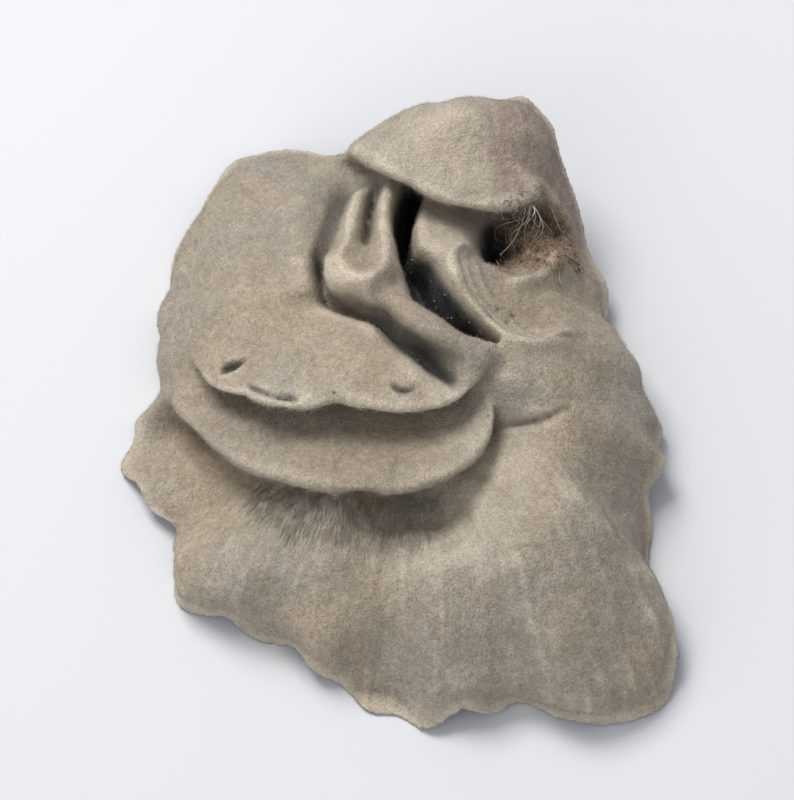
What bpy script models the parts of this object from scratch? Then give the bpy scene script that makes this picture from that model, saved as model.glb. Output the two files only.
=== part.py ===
"""A dried white-backed wood ear, lying on its margin with the felted back up.

The ear is one grown sheet. It starts as a flat disc, which is stretched to the ear's outline, bowed up
into a bowl turned over, and then folded: laps, where the sheet overhangs itself, pleats, where it is
pinched into a ridge, and furrows, where it is drawn down. Lengths are in millimetres until the mesh is made.
The origin is under the middle of the ear, on the surface that it lies on. +X is across it, +Y runs from
the hem of the fan to the dome beside the scar, and +Z is up.
"""

import bpy
import numpy as np

MILLIMETRE = 0.001

# The sheet with its felt, and how high the bowed sheet stands in the middle.
THICKNESS = 1.4
CROWN = 27.0
# The spot that the outline is drawn round, and the power with which the sheet falls away towards it.
MIDDLE = (0.0, -3.0)
BOW = 2.6
# Soft unevenness all over, and long and short waves of the margin, all of them heights.
UNEVEN = 0.7
RUFFLES = 1.6
FRILL = 0.7
# The bearing of the dome's margin, in radians, where the small waves are weak.
DOME_BEARING = 1.15
# How far the lowest stretches of the margin are pressed flat by the surface that they lie on.
PRESSED = 0.15

# How finely the shape is worked out: lines across the sheet, the side of a voxel, the share of faces kept.
GRID = 160
VOXEL = 0.5
FACES_KEPT = 0.0275
STEPS_BETWEEN = 10
LATTICE = 64
SURFACE = 200.0

# The margin, anticlockwise from the right: across, along and height above the surface.
MARGIN = (
    (44.5, -5.0, 3.0),
    (40.5, 6.0, 7.0),
    (35.5, 15.0, 3.0),
    (32.0, 25.0, 8.0),
    (28.0, 36.0, 15.0),
    (22.5, 45.0, 21.0),
    (10.5, 48.8, 22.0),
    (-1.0, 45.8, 21.0),
    (-8.5, 42.5, 15.0),
    (-16.0, 43.0, 5.0),
    (-25.0, 45.5, -0.5),
    (-35.5, 39.0, 4.0),
    (-41.5, 28.0, -0.5),
    (-46.0, 14.0, 3.0),
    (-45.5, -1.0, -0.5),
    (-46.5, -14.0, 5.0),
    (-43.0, -26.0, 5.0),
    (-41.0, -40.0, 1.0),
    (-28.5, -45.0, 0.0),
    (-17.0, -51.5, 3.0),
    (-4.0, -55.5, -2.5),
    (8.0, -60.0, 3.0),
    (20.0, -60.5, 0.0),
    (32.0, -63.0, 3.0),
    (43.5, -58.5, 0.0),
    (45.5, -44.0, 4.0),
    (42.5, -31.0, -0.5),
    (42.0, -18.0, 4.0),
)


# Where the folds run on the flat sheet: across and along. Each path has its upper side on its left.
DOME_EDGE = ((-10.5, 40.5), (-7, 35.8), (-3, 31.9), (3, 28), (9, 25.6), (15.4, 25.2), (20, 27.2), (22.5, 30))
LIP = (
    (-37, 3), (-31, -2), (-25, -5.2), (-20.5, -8), (-16, -8.8), (-12, -8.0), (-6.5, -9.2), (-1, -10), (4, -9.2),
    (9, -7), (15.5, -4),
)
ROLL = (
    (-41, -1), (-36, -8), (-30, -14.5), (-22, -20), (-11, -23), (0, -23), (8, -20), (12.5, -14), (13.5, -6),
)
FOOT_EDGE = (
    (-14, 20), (-13.6, 14), (-12.4, 9.5), (-9, 7.4), (-4.4, 5.6), (0, 1.9), (5, -1.3), (9.5, -3.6),
)
LOOP = (
    (-7.6, 31), (-8.9, 24), (-9.8, 17.5), (-10.6, 13.5), (-9.4, 10.2), (-6.2, 9.2), (-3.7, 11.5), (-3.6, 16),
    (-4.0, 22), (-4.3, 31),
)
SLIT = ((-6.2, 30), (-6.5, 22), (-6.8, 16))
RIDGE = ((-5, 8.6), (0, 4.6), (5, 1.1), (10, -1.8), (16, -4.5))
CREASE = (
    (-15.6, 17), (-15.3, 12.2), (-13.8, 7.6), (-9.5, 5.1), (-5.2, 3.1), (-1.2, -0.5), (3.6, -3.4), (7, -4.9),
)
CREASE_WIDTHS = (0.9, 1.2, 1.3, 1.0, 1.1, 1.5, 1.2, 0.7)
SLOT = (
    (0, 30), (-0.7, 25.5), (-0.7, 20.5), (0.3, 16.2), (2.1, 12.9), (4, 8.2), (8.2, 4.1), (12.5, 0.9), (16, -1.2),
)
SLOT_WIDTHS = (2.0, 2.0, 1.8, 2.0, 2.9, 2.9, 2.2, 1.3, 0.8)
COLLAR = (
    (12, 18.2), (8.6, 15.6), (7.2, 12.1), (8.4, 7.2), (11.8, 3.1), (15.6, 0), (19.6, -1), (24.4, 0.9),
    (29, 5),
)
INNER_FOLD = ((15.5, 11.4), (19, 12.0), (22.5, 14.2), (26, 17.6), (29.5, 22))
PLATEAU_FOLD = ((-17.5, 32), (-18.5, 18), (-17, 7))
PLATEAU_VALLEY = ((-23, 34), (-24, 20), (-22.5, 8))
CHEEK_CREASE = ((15, -12.4), (20, -12.9), (26, -12))


def curve_through(points, steps, closed=False):
    """A Catmull-Rom curve through the points, with the given number of steps to each span."""
    spots = np.asarray(points, float)
    if closed:
        before, start, end, after = (np.roll(spots, shift, axis=0) for shift in (1, 0, -1, -2))
    else:
        lead = 2 * spots[0] - spots[1]
        trail = 2 * spots[-1] - spots[-2]
        spots = np.vstack([lead, spots, trail])
        before, start, end, after = spots[:-3], spots[1:-2], spots[2:-1], spots[3:]
    before, start, end, after = (part[:, None, :] for part in (before, start, end, after))
    t = (np.arange(steps) / steps)[None, :, None]
    curve = 0.5 * (2 * start + (end - before) * t
                   + (2 * before - 5 * start + 4 * end - after) * t**2
                   + (3 * start - before - 3 * end + after) * t**3)
    curve = curve.reshape(-1, spots.shape[1])
    return curve if closed else np.vstack([curve, spots[-2]])


def ramp(value, low, high):
    """Rises smoothly from 0 at low to 1 at high."""
    t = np.clip((value - low) / (high - low), 0.0, 1.0)
    return t * t * (3 - 2 * t)


def hills(x, y, size, seed):
    """Soft random hills from -1 to 1 high: random heights on a turned square lattice, joined smoothly."""
    heights = np.random.default_rng(seed).uniform(-1.0, 1.0, (LATTICE, LATTICE))
    column = (0.8 * x + 0.6 * y) / size
    row = (0.8 * y - 0.6 * x) / size
    left = np.floor(column).astype(int)
    front = np.floor(row).astype(int)
    s = ramp(column - left, 0.0, 1.0)
    t = ramp(row - front, 0.0, 1.0)
    here, right = left % LATTICE, (left + 1) % LATTICE
    near, far = front % LATTICE, (front + 1) % LATTICE
    return ((heights[near, here] * (1 - s) + heights[near, right] * s) * (1 - t)
            + (heights[far, here] * (1 - s) + heights[far, right] * s) * t)


class Path:
    """A path drawn on the flat sheet, and how each point of the sheet lies to it.

    away is the distance from the path, positive on the right of it, across is the direction in which that
    distance grows, and place is how many of the path's points lie behind the nearest spot on it.
    window is 1 along the path and fades to 0 over the given share at its two ends.
    """

    def __init__(self, x, y, points, fade):
        line = curve_through(points, STEPS_BETWEEN)
        steps = np.diff(line, axis=0)
        lengths = np.hypot(steps[:, 0], steps[:, 1])
        nearest = np.full(x.shape, np.inf)
        self.away = np.zeros_like(x)
        self.place = np.zeros_like(x)
        self.across = np.zeros(x.shape + (2,))
        for number, ((ax, ay), (sx, sy), length) in enumerate(zip(line, steps, lengths)):
            t = np.clip(((x - ax) * sx + (y - ay) * sy) / length**2, 0.0, 1.0)
            dx = x - ax - t * sx
            dy = y - ay - t * sy
            distance = np.hypot(dx, dy)
            near = distance < nearest
            nearest = np.where(near, distance, nearest)
            self.away = np.where(near, np.sign(dx * sy - dy * sx) * distance, self.away)
            self.place = np.where(near, (number + t) / STEPS_BETWEEN, self.place)
            self.across[near] = (sy / length, -sx / length)
        share = self.place / (len(points) - 1)
        self.window = ramp(share, 0.0, fade) * (1 - ramp(share, 1 - fade, 1.0))


class Sheet:
    """The sheet as it folds: where its points lay when flat, how far they have moved, and their height."""

    def __init__(self, x, y, height):
        self.x = x
        self.y = y
        self.height = height
        self.moved = np.zeros(x.shape + (2,))

    def nearness(self, at, reach, turn=0.0):
        """Falls from 1 at a spot to nearly 0 at about twice the reach along and across a turned oval."""
        dx = self.x - at[0]
        dy = self.y - at[1]
        c = np.cos(np.radians(turn))
        s = np.sin(np.radians(turn))
        return np.exp(-((dx * c + dy * s) / reach[0])**2 - ((dy * c - dx * s) / reach[1])**2)

    def swell(self, at, reach, rise, turn=0.0):
        """Raises a soft mound, or a hollow where rise is negative."""
        self.height = self.height + rise * self.nearness(at, reach, turn)

    def lap(self, points, overhang, edge, reach, rise, drop, run, fade=0.15):
        """The sheet on the left of the path is pushed out over the sheet on its right, which lies lower.

        The push reverses within the width of the edge, and dies out at the reach. The upper side rises a
        little at its edge, and the lower side drops and climbs back over its run. Returns how far each
        point belongs to the lower side, from 0 to 1.
        """
        path = Path(self.x, self.y, points, fade)
        turn = np.tanh(path.away / edge)
        below = 0.5 + 0.5 * turn
        near = np.exp(-(path.away / reach)**2)
        self.moved = self.moved - (overhang * path.window * turn * near)[..., None] * path.across
        self.height = self.height + path.window * (rise * (1 - below) * near
                                                   - drop * below * np.exp(-(path.away / run)**2))
        return below

    def pleat(self, points, rise, width, pinch=0.4, fade=0.15, blunt=2.2, within=1.0):
        """Pinches the sheet into a ridge along the path, or draws it down into a furrow if rise is negative.

        The width is one value, or one for each point of the path.
        """
        path = Path(self.x, self.y, points, fade)
        numbers = np.arange(len(points))
        half = np.interp(path.place, numbers, np.broadcast_to(width, numbers.shape))
        k = path.away / half
        strength = path.window * within
        self.height = self.height + rise * strength * np.exp(-np.abs(k)**blunt)
        self.moved = self.moved - (pinch * half * strength * k * np.exp(-k**2))[..., None] * path.across


def fold(x, y, to_margin, rim_height, angle):
    """Places of the sheet's points once it has dried, from their places on the flat outline."""
    sheet = Sheet(x, y, rim_height + (CROWN - rim_height) * (1 - to_margin**BOW))

    # The dome beside the scar, the cheek on the right, the plateau and the shoulder left of it.
    sheet.swell((8.5, 37.5), (13.5, 8.0), 8.0, -4)
    sheet.swell((28, -14), (10, 14), 4.0)
    sheet.swell((24, -36), (10, 12), 3.0, 20)
    sheet.swell((-10, -3), (16, 4.5), 1.5, 5)
    sheet.swell((-27, 16), (8, 16), 2.5, 15)
    # The hollow below the roll and the higher ground left of it, the valley at the lower left, and the
    # fan's left lobe.
    sheet.swell((5, -29), (10, 6), -5.5)
    sheet.swell((-15, -27.5), (9, 4.5), 2.5, -8)
    sheet.swell((-37, -24), (9, 6), -5.0, 20)
    sheet.swell((-24, -37), (12, 5), 3.0, 15)

    # The dome overhangs the collar, the wavy lip the roll, the roll the fan, and the loop's foot the plateau.
    below_dome = sheet.lap(DOME_EDGE, overhang=4.0, edge=0.9, reach=5.0, rise=2.0, drop=7.0, run=8.0)
    sheet.lap(LIP, overhang=5.0, edge=0.8, reach=6.0, rise=1.2, drop=9.0, run=13.0)
    sheet.lap(ROLL, overhang=5.0, edge=1.6, reach=7.0, rise=4.5, drop=9.0, run=10.0, fade=0.12)
    sheet.lap(FOOT_EDGE, overhang=1.5, edge=0.7, reach=3.0, rise=0.8, drop=4.0, run=3.2, fade=0.2)

    # The loop is a ridge bent into a U, full at its foot, with a slit between its legs. A ridge runs on
    # from it, and a deep crease runs round its foot and under the ridge.
    sheet.pleat(LOOP, rise=4.5, width=2.1, fade=0.06, within=below_dome)
    sheet.swell((-6.8, 13), (2.4, 4.0), 2.2)
    sheet.pleat(SLIT, rise=-6.0, width=1.1, fade=0.3, within=below_dome)
    sheet.pleat(RIDGE, rise=3.0, width=2.2)
    sheet.pleat(CREASE, rise=-3.5, width=CREASE_WIDTHS, pinch=0.3, fade=0.12)
    # The slot beside the loop, where the sheet turns in so far that its black face shows.
    sheet.pleat(SLOT, rise=-14.0, width=SLOT_WIDTHS, pinch=0.2, fade=0.06, blunt=4.0, within=below_dome)

    # The collar round the hollow of the scar, the fold inside it, the hollow and the hole in it.
    sheet.swell((10, 12), (7, 9), 3.0, 30)
    sheet.pleat(COLLAR, rise=2.8, width=1.6, fade=0.12, within=below_dome)
    sheet.pleat(INNER_FOLD, rise=2.5, width=1.8, fade=0.25)
    sheet.swell((16, 18.2), (6.0, 5.0), -5.0)
    sheet.swell((14.2, 18.8), (2.6, 2.8), -8.0)
    # The stub of the stalk, cut off flat.
    stub = sheet.nearness((22.5, 19.5), (3.8, 3.2))
    sheet.height = sheet.height + 6.0 * np.minimum(stub, 0.62)

    # Two soft folds down the plateau, and the crease between the cheek and the ridge.
    sheet.pleat(PLATEAU_FOLD, rise=1.3, width=3.0, pinch=0.1)
    sheet.pleat(PLATEAU_VALLEY, rise=-1.4, width=3.0, pinch=0.1)
    sheet.pleat(CHEEK_CREASE, rise=-1.6, width=1.1, fade=0.3)

    # The whole sheet is uneven, its margin is ruffled, and it curls under.
    sheet.height = sheet.height + UNEVEN * (hills(x, y, 11.0, 1) + 0.5 * hills(x, y, 5.0, 2))
    ruffle = RUFFLES * to_margin**5 * np.sin(13 * angle + 1.5 * np.sin(3 * angle))
    frill = FRILL * to_margin**12 * np.sin(34 * angle + 2.5 * np.sin(5 * angle))
    sheet.height = sheet.height + ruffle + frill
    curl = ramp(to_margin, 0.84, 1.0) ** 2 * (3.0 + 2.5 * np.sin(5 * angle + 0.6) + 1.5 * np.sin(9 * angle))
    plain_dome = 1 - 0.8 * np.exp(-((angle - DOME_BEARING) / 0.3)**2)
    curl = curl + FRILL * plain_dome * to_margin**8 * np.sin(27 * angle + 2.0 * np.sin(4 * angle) + 1)
    outward = np.stack([np.cos(angle), np.sin(angle)], axis=-1)
    flat = np.stack([x, y], axis=-1) + sheet.moved - curl[..., None] * outward
    height = np.maximum(sheet.height, THICKNESS / 2)
    return np.concatenate([flat, height[..., None]], axis=-1)


def flat_outline(u, v):
    """The sheet before it folds, from places on a square: the square is mapped to a disc, and the disc is
    stretched to the ear's outline. Returns across, along, the share of the way out to the margin, the
    margin's height and the bearing.
    """
    disc_x = u * np.sqrt(1 - v**2 / 2)
    disc_y = v * np.sqrt(1 - u**2 / 2)
    to_margin = np.hypot(disc_x, disc_y)
    angle = np.arctan2(disc_y, disc_x)
    margin = curve_through(MARGIN, STEPS_BETWEEN, closed=True)
    margin_x = margin[:, 0] - MIDDLE[0]
    margin_y = margin[:, 1] - MIDDLE[1]
    bearing = np.arctan2(margin_y, margin_x)
    radius = np.interp(angle, bearing, np.hypot(margin_x, margin_y), period=2 * np.pi)
    rim_height = np.interp(angle, bearing, margin[:, 2], period=2 * np.pi)
    x = MIDDLE[0] + to_margin * radius * np.cos(angle)
    y = MIDDLE[1] + to_margin * radius * np.sin(angle)
    return x, y, to_margin, rim_height, angle


def dried_ear(u, v):
    """Places of the folded sheet from places on a square, centred over the origin, its feet pressed flat."""
    places = fold(*flat_outline(u, v))
    corners = places.reshape(-1, 3)
    places[..., :2] -= (corners[:, :2].min(axis=0) + corners[:, :2].max(axis=0)) / 2
    places[..., 2] -= PRESSED
    return places


for old in list(bpy.data.objects):
    bpy.data.objects.remove(old)

ear_collection = bpy.data.collections.new("wood_ear_mushroom")
cutter_collection = bpy.data.collections.new("cutters")
for collection in (ear_collection, cutter_collection):
    bpy.context.scene.collection.children.link(collection)


def move_to(collection, thing):
    """Takes an object out of every collection that holds it, and puts it in this one."""
    for holder in list(thing.users_collection):
        holder.objects.unlink(thing)
    collection.objects.link(thing)


# A flat square grid, whose points then go where the sheet's folds put them.
bpy.ops.mesh.primitive_grid_add(x_subdivisions=GRID, y_subdivisions=GRID, size=2)
wood_ear = bpy.context.object
wood_ear.name = "wood_ear"
move_to(ear_collection, wood_ear)
mesh = wood_ear.data
mesh.name = "wood_ear"
flat = np.empty(3 * len(mesh.vertices))
mesh.vertices.foreach_get("co", flat)
flat = flat.reshape(-1, 3)
mesh.vertices.foreach_set("co", (dried_ear(flat[:, 0], flat[:, 1]) * MILLIMETRE).ravel())
mesh.shade_smooth()

shell = wood_ear.modifiers.new("sheet_thickness", "SOLIDIFY")
shell.thickness = THICKNESS * MILLIMETRE
shell.offset = 0.0

fused = wood_ear.modifiers.new("touching_folds_grown_together", "REMESH")
fused.mode = "VOXEL"
fused.voxel_size = VOXEL * MILLIMETRE
fused.use_smooth_shade = True

fewer = wood_ear.modifiers.new("fewer_faces", "DECIMATE")
fewer.decimate_type = "COLLAPSE"
fewer.ratio = FACES_KEPT
fewer.use_collapse_triangulate = True

# The surface that the ear lies on, which presses the lowest stretches of its margin flat.
bpy.ops.mesh.primitive_cube_add(size=SURFACE * MILLIMETRE, location=(0, 0, -SURFACE / 2 * MILLIMETRE))
surface = bpy.context.object
surface.name = "surface_below"
move_to(cutter_collection, surface)
surface.hide_render = True
surface.display_type = "WIRE"
pressed = wood_ear.modifiers.new("pressed_flat_below", "BOOLEAN")
pressed.operation = "DIFFERENCE"
pressed.solver = "EXACT"
pressed.object = surface

felt = bpy.data.materials.new("felted_back")
felt.use_nodes = True
finish = felt.node_tree.nodes["Principled BSDF"]
finish.inputs["Base Color"].default_value = (0.45, 0.37, 0.28, 1.0)
finish.inputs["Roughness"].default_value = 0.9
finish.inputs["Metallic"].default_value = 0.0
mesh.materials.append(felt)
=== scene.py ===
"""A dried white-backed wood ear on a pale table, under soft studio light.

The file follows the real thing: the table and the light, the ear's folded sheet, its felt, the long
hairs under the roll, and the scar with its fibres, torn strands and crumbs of bark.
"""

import bpy
import numpy as np
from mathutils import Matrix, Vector


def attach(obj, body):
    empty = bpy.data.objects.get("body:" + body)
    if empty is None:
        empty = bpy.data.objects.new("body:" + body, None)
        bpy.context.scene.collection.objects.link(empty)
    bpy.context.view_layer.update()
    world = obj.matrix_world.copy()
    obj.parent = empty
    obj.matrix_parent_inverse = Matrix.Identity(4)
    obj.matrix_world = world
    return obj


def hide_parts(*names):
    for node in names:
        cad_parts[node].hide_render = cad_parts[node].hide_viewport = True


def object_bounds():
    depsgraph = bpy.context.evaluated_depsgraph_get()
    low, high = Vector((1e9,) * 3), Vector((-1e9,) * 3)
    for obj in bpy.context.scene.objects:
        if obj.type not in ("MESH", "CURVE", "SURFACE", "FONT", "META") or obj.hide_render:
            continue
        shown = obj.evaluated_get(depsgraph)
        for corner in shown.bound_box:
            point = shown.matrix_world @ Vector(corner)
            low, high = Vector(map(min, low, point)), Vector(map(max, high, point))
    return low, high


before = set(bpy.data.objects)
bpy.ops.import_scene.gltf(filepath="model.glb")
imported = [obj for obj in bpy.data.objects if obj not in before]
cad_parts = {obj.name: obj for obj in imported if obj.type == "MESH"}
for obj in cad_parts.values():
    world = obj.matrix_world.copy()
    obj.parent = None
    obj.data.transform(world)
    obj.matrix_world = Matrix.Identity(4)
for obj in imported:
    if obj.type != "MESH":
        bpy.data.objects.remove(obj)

cad_box = [list(corner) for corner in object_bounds()]


# The table and the light: a matt pale sheet that runs up behind, a large soft box overhead and a
# little behind, as in a product photograph, and a weak fill from the camera's left.

def matt(name, colour, roughness):
    """A plain matt finish for what isn't part of the ear."""
    finish = bpy.data.materials.new(name)
    finish.use_nodes = True
    shader = finish.node_tree.nodes["Principled BSDF"]
    shader.inputs["Base Color"].default_value = (*colour, 1.0)
    shader.inputs["Roughness"].default_value = roughness
    return finish


def table_sheet(width, depth, rise, bend):
    """A flat sheet that bends up at the back: a profile of floor, quarter circle and wall, carried across."""
    turn = np.linspace(0, np.pi / 2, 13)
    along = np.concatenate([[-depth], depth + bend * np.sin(turn), [depth + bend]])
    height = np.concatenate([[0.0], bend * (1 - np.cos(turn)), [rise]])
    across = np.array([-width, width])
    x, y = np.meshgrid(across, along)
    z = np.repeat(height[:, None], 2, axis=1)
    points = np.stack([x, y, z], axis=-1).reshape(-1, 3)
    first = np.arange(len(along) - 1) * 2
    faces = np.stack([first, first + 1, first + 3, first + 2], axis=-1)
    mesh = bpy.data.meshes.new("table")
    mesh.from_pydata(points.tolist(), [], faces.tolist())
    mesh.shade_smooth()
    return mesh


table = bpy.data.objects.new("table", table_sheet(width=3.0, depth=1.5, rise=2.5, bend=0.6))
table.data.materials.append(matt("pale_table", colour=(0.80, 0.81, 0.84), roughness=0.6))
bpy.context.scene.collection.objects.link(table)


def soft_box(name, place, aim, size, watts, colour=(1.0, 1.0, 1.0)):
    """A square soft light at a place, turned to shine at another."""
    light = bpy.data.lights.new(name, "AREA")
    light.size = size
    light.energy = watts
    light.color = colour
    lamp = bpy.data.objects.new(name, light)
    lamp.location = place
    lamp.rotation_euler = (Vector(aim) - Vector(place)).to_track_quat("-Z", "Y").to_euler()
    bpy.context.scene.collection.objects.link(lamp)


ear_middle = Vector((sum(corner[axis] for corner in cad_box) / 2 for axis in range(3)))
soft_box("key", place=(-0.30, 0.45, 0.85), aim=ear_middle, size=0.45, watts=7.2, colour=(1.0, 0.985, 0.96))
soft_box("fill", place=(-0.8, -0.9, 0.7), aim=ear_middle, size=1.0, watts=2.8, colour=(0.95, 0.97, 1.0))

room = bpy.data.worlds.new("room")
room.use_nodes = True
room.node_tree.nodes["Background"].inputs["Color"].default_value = (0.93, 0.95, 1.0, 1.0)
room.node_tree.nodes["Background"].inputs["Strength"].default_value = 0.45
bpy.context.scene.world = room
bpy.context.scene.view_settings.view_transform = "Standard"


# The camera looks down at the ear at 68 degrees, from a metre away through a long lens, and takes in
# a frame of the photograph's shape, 132 mm high at the ear.

LOOK_DOWN = np.radians(68)
CAMERA_AWAY = 1.0
FRAME_HEIGHT = 0.132
FRAME_SHAPE = 800 / 794
camera_data = bpy.data.cameras.new("camera")
camera_data.sensor_width = 36.0
camera_data.sensor_fit = "HORIZONTAL"
camera_data.lens = camera_data.sensor_width * FRAME_SHAPE * CAMERA_AWAY / FRAME_HEIGHT
camera_data.clip_start = 0.05
camera = bpy.data.objects.new("camera", camera_data)
camera.location = ear_middle + CAMERA_AWAY * Vector((0, -np.cos(LOOK_DOWN), np.sin(LOOK_DOWN)))
camera.rotation_euler = (ear_middle - camera.location).to_track_quat("-Z", "Y").to_euler()
bpy.context.scene.collection.objects.link(camera)
bpy.context.scene.camera = camera


# The ear: one grown sheet, thick as leather, felted on its back and black on the face that bore spores.
# It dried from the margin inwards, which bowed it up, lapped it over itself and pinched it into ridges.
# Lengths are in millimetres until the mesh is made.

MILLIMETRE = 0.001
THICKNESS = 1.4
CROWN = 27.0
# The spot that the outline is drawn round, and the power with which the sheet falls away to its margin.
MIDDLE = (0.0, -3.0)
BOW = 2.6
# How high the soft unevenness and the long and short waves of the margin stand. The margin also goes in
# and out by the height of the short ones.
UNEVEN = 0.7
RUFFLES = 1.6
FRILL = 0.7
# The bearing of the dome's margin, in radians, where the small waves are weak.
DOME_BEARING = 1.15
# How far the lowest stretches of the margin are pressed flat by the surface that they lie on.
PRESSED = 0.15

# The steps of a curve from one of its points to the next, and the squares along the soft hills' lattice.
STEPS_BETWEEN = 10
LATTICE = 64

# The margin, anticlockwise from the right: across, along and height above the surface.
MARGIN = (
    (44.5, -5.0, 3.0), (40.5, 6.0, 7.0), (35.5, 15.0, 3.0), (32.0, 25.0, 8.0), (28.0, 36.0, 15.0),
    (22.5, 45.0, 21.0), (10.5, 48.8, 22.0), (-1.0, 45.8, 21.0), (-8.5, 42.5, 15.0), (-16.0, 43.0, 5.0),
    (-25.0, 45.5, -0.5), (-35.5, 39.0, 4.0), (-41.5, 28.0, -0.5), (-46.0, 14.0, 3.0), (-45.5, -1.0, -0.5),
    (-46.5, -14.0, 5.0), (-43.0, -26.0, 5.0), (-41.0, -40.0, 1.0), (-28.5, -45.0, 0.0), (-17.0, -51.5, 3.0),
    (-4.0, -55.5, -2.5), (8.0, -60.0, 3.0), (20.0, -60.5, 0.0), (32.0, -63.0, 3.0), (43.5, -58.5, 0.0),
    (45.5, -44.0, 4.0), (42.5, -31.0, -0.5), (42.0, -18.0, 4.0),
)


# Where the folds run on the flat sheet: across and along. Where the sheet laps over itself, the upper side
# is on the path's left.
DOME_EDGE = ((-10.5, 40.5), (-7, 35.8), (-3, 31.9), (3, 28), (9, 25.6), (15.4, 25.2), (20, 27.2), (22.5, 30))
LIP = (
    (-37, 3), (-31, -2), (-25, -5.2), (-20.5, -8), (-16, -8.8), (-12, -8.0), (-6.5, -9.2), (-1, -10),
    (4, -9.2), (9, -7), (15.5, -4),
)
ROLL = (
    (-41, -1), (-36, -8), (-30, -14.5), (-22, -20), (-11, -23), (0, -23), (8, -20), (12.5, -14), (13.5, -6),
)
FOOT_EDGE = (
    (-14, 20), (-13.6, 14), (-12.4, 9.5), (-9, 7.4), (-4.4, 5.6), (0, 1.9), (5, -1.3), (9.5, -3.6),
)
LOOP = (
    (-7.6, 31), (-8.9, 24), (-9.8, 17.5), (-10.6, 13.5), (-9.4, 10.2), (-6.2, 9.2), (-3.7, 11.5), (-3.6, 16),
    (-4.0, 22), (-4.3, 31),
)
SLIT = ((-6.2, 30), (-6.5, 22), (-6.8, 16))
RIDGE = ((-5, 8.6), (0, 4.6), (5, 1.1), (10, -1.8), (16, -4.5))
CREASE = (
    (-15.6, 17), (-15.3, 12.2), (-13.8, 7.6), (-9.5, 5.1), (-5.2, 3.1), (-1.2, -0.5), (3.6, -3.4), (7, -4.9),
)
CREASE_WIDTHS = (0.9, 1.2, 1.3, 1.0, 1.1, 1.5, 1.2, 0.7)
SLOT = (
    (0, 30), (-0.7, 25.5), (-0.7, 20.5), (0.3, 16.2), (2.1, 12.9), (4, 8.2), (8.2, 4.1), (12.5, 0.9),
    (16, -1.2),
)
SLOT_WIDTHS = (2.0, 2.0, 1.8, 2.0, 2.9, 2.9, 2.2, 1.3, 0.8)
COLLAR = (
    (12, 18.2), (8.6, 15.6), (7.2, 12.1), (8.4, 7.2), (11.8, 3.1), (15.6, 0), (19.6, -1), (24.4, 0.9),
    (29, 5),
)
INNER_FOLD = ((15.5, 11.4), (19, 12.0), (22.5, 14.2), (26, 17.6), (29.5, 22))
PLATEAU_FOLD = ((-17.5, 32), (-18.5, 18), (-17, 7))
PLATEAU_VALLEY = ((-23, 34), (-24, 20), (-22.5, 8))
CHEEK_CREASE = ((15, -12.4), (20, -12.9), (26, -12))


def curve_through(points, steps, closed=False):
    """A Catmull-Rom curve through the points, with the given number of steps to each span."""
    spots = np.asarray(points, float)
    if closed:
        before, start, end, after = (np.roll(spots, shift, axis=0) for shift in (1, 0, -1, -2))
    else:
        lead = 2 * spots[0] - spots[1]
        trail = 2 * spots[-1] - spots[-2]
        spots = np.vstack([lead, spots, trail])
        before, start, end, after = spots[:-3], spots[1:-2], spots[2:-1], spots[3:]
    before, start, end, after = (part[:, None, :] for part in (before, start, end, after))
    t = (np.arange(steps) / steps)[None, :, None]
    curve = 0.5 * (2 * start + (end - before) * t
                   + (2 * before - 5 * start + 4 * end - after) * t**2
                   + (3 * start - before - 3 * end + after) * t**3)
    curve = curve.reshape(-1, spots.shape[1])
    return curve if closed else np.vstack([curve, spots[-2]])


def ramp(value, low, high):
    """Rises smoothly from 0 at low to 1 at high, by t^2 (3 - 2 t) of the share t of the way."""
    t = np.clip((value - low) / (high - low), 0.0, 1.0)
    return t * t * (3 - 2 * t)


def hills(x, y, size, seed):
    """Soft random hills from -1 to 1 high: random heights on a turned square lattice, joined smoothly."""
    heights = np.random.default_rng(seed).uniform(-1.0, 1.0, (LATTICE, LATTICE))
    column = (0.8 * x + 0.6 * y) / size
    row = (0.8 * y - 0.6 * x) / size
    left = np.floor(column).astype(int)
    front = np.floor(row).astype(int)
    s = ramp(column - left, 0.0, 1.0)
    t = ramp(row - front, 0.0, 1.0)
    here, right = left % LATTICE, (left + 1) % LATTICE
    near, far = front % LATTICE, (front + 1) % LATTICE
    return ((heights[near, here] * (1 - s) + heights[near, right] * s) * (1 - t)
            + (heights[far, here] * (1 - s) + heights[far, right] * s) * t)


class Path:
    """A path drawn on the flat sheet, and how each point of the sheet lies to it.

    away is the distance from the path, positive on the right of it, across is the direction in which that
    distance grows, and place is how many of the path's points lie behind the nearest spot on it.
    window is 1 along the path and fades to 0 over the given share at its two ends.
    """

    def __init__(self, x, y, points, fade):
        line = curve_through(points, STEPS_BETWEEN)
        steps = np.diff(line, axis=0)
        lengths = np.hypot(steps[:, 0], steps[:, 1])
        nearest = np.full(x.shape, np.inf)
        self.away = np.zeros_like(x)
        self.place = np.zeros_like(x)
        self.across = np.zeros(x.shape + (2,))
        for number, ((ax, ay), (sx, sy), length) in enumerate(zip(line, steps, lengths)):
            t = np.clip(((x - ax) * sx + (y - ay) * sy) / length**2, 0.0, 1.0)
            dx = x - ax - t * sx
            dy = y - ay - t * sy
            distance = np.hypot(dx, dy)
            near = distance < nearest
            nearest = np.where(near, distance, nearest)
            self.away = np.where(near, np.sign(dx * sy - dy * sx) * distance, self.away)
            self.place = np.where(near, (number + t) / STEPS_BETWEEN, self.place)
            self.across[near] = (sy / length, -sx / length)
        share = self.place / (len(points) - 1)
        self.window = ramp(share, 0.0, fade) * (1 - ramp(share, 1 - fade, 1.0))


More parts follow.
